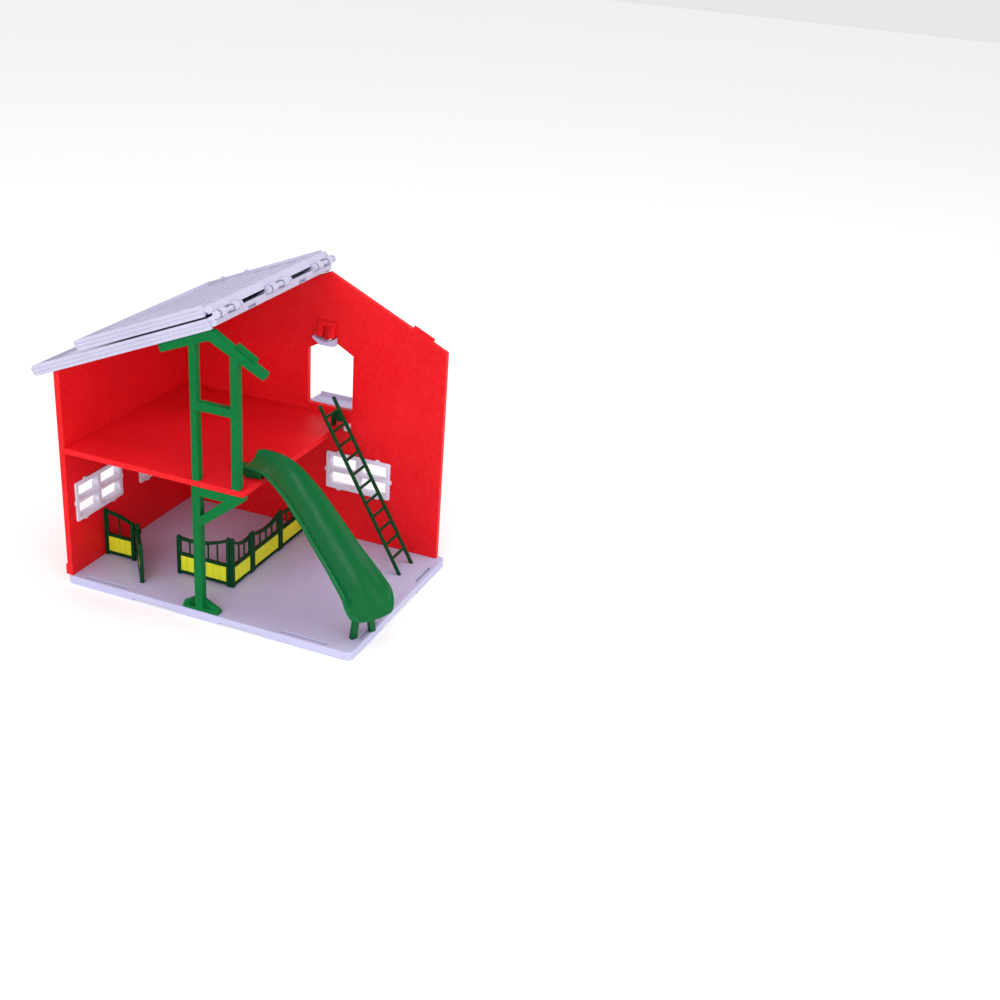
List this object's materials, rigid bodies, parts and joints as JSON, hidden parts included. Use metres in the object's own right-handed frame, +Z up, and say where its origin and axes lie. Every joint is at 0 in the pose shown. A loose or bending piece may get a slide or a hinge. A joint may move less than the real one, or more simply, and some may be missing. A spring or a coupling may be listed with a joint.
{
  "type": "toy barn",
  "caption": "Open toy barn with two walls, a loft, a hinged roof half folded over, a slide, a ladder, fenced stalls and a swinging gate.",
  "frame": {"origin": "centre of the base underside, on the surface that the barn stands on", "axes": "X along the open front, left to right; Y from the open front to the gable wall; Z up"},
  "size_m": [0.2327, 0.1544, 0.2061],
  "materials": {
    "red_plastic": "satin",
    "lavender_plastic": "satin",
    "roof_plastic": "satin",
    "window_plastic": "satin",
    "green_plastic": "satin",
    "slide_plastic": "satin",
    "dark_green_plastic": "satin",
    "yellow_plastic": "satin"
  },
  "bodies": {
    "barn": {"base_plate": "lavender_plastic", "left_wall": "red_plastic", "gable_wall": "red_plastic", "loft_floor": "red_plastic", "loft_corner_clip": "window_plastic", "hoist_bracket": "red_plastic", "hoist_shoe": "lavender_plastic", "window_left_front": "window_plastic", "window_left_back": "window_plastic", "window_gable": "window_plastic", "truss_frame": "green_plastic", "loft_post": "green_plastic", "roof_left": "roof_plastic", "stall_wall_frame": "dark_green_plastic", "stall_wall_planks": "yellow_plastic", "stall_front_frame": "dark_green_plastic", "stall_front_planks": "yellow_plastic", "stall_side_1_frame": "dark_green_plastic", "stall_side_1_planks": "yellow_plastic", "stall_side_2_frame": "dark_green_plastic", "stall_side_2_planks": "yellow_plastic", "stall_side_3_frame": "dark_green_plastic", "stall_side_3_planks": "yellow_plastic"},
    "folding_roof": {"roof_right": "roof_plastic"},
    "gate": {"stall_gate_frame": "dark_green_plastic", "stall_gate_planks": "yellow_plastic"},
    "loft_door_leaf": {"loft_door": "lavender_plastic"},
    "slide": {"slide_chute": "slide_plastic", "slide_leg": "slide_plastic"},
    "ladder_unit": {"ladder": "dark_green_plastic"}
  },
  "joints": [
    {"name": "roof_fold", "type": "hinge", "parent": "barn", "child": "folding_roof", "pos_m": [0.01513, 0, 0.20166], "axis": [0, 1, 0], "range_deg": [0, 227.7]},
    {"name": "gate_swing", "type": "hinge", "parent": "barn", "child": "gate", "pos_m": [-0.0705, -0.034, 0.0057], "axis": [0, 0, 1], "range_deg": [-62, 138]},
    {"name": "loft_door_fold", "type": "hinge", "parent": "barn", "child": "loft_door_leaf", "pos_m": [0.0167, 0.0714, 0.09907], "axis": [1, 0, 0], "range_deg": [0, 90]},
    {"name": "slide_lift_off", "type": "slide", "parent": "barn", "child": "slide", "axis": [0, 0, 1], "range_m": [0, 0.03]},
    {"name": "ladder_lift_off", "type": "slide", "parent": "barn", "child": "ladder_unit", "axis": [0, 0, 1], "range_m": [0, 0.03]}
  ]
}
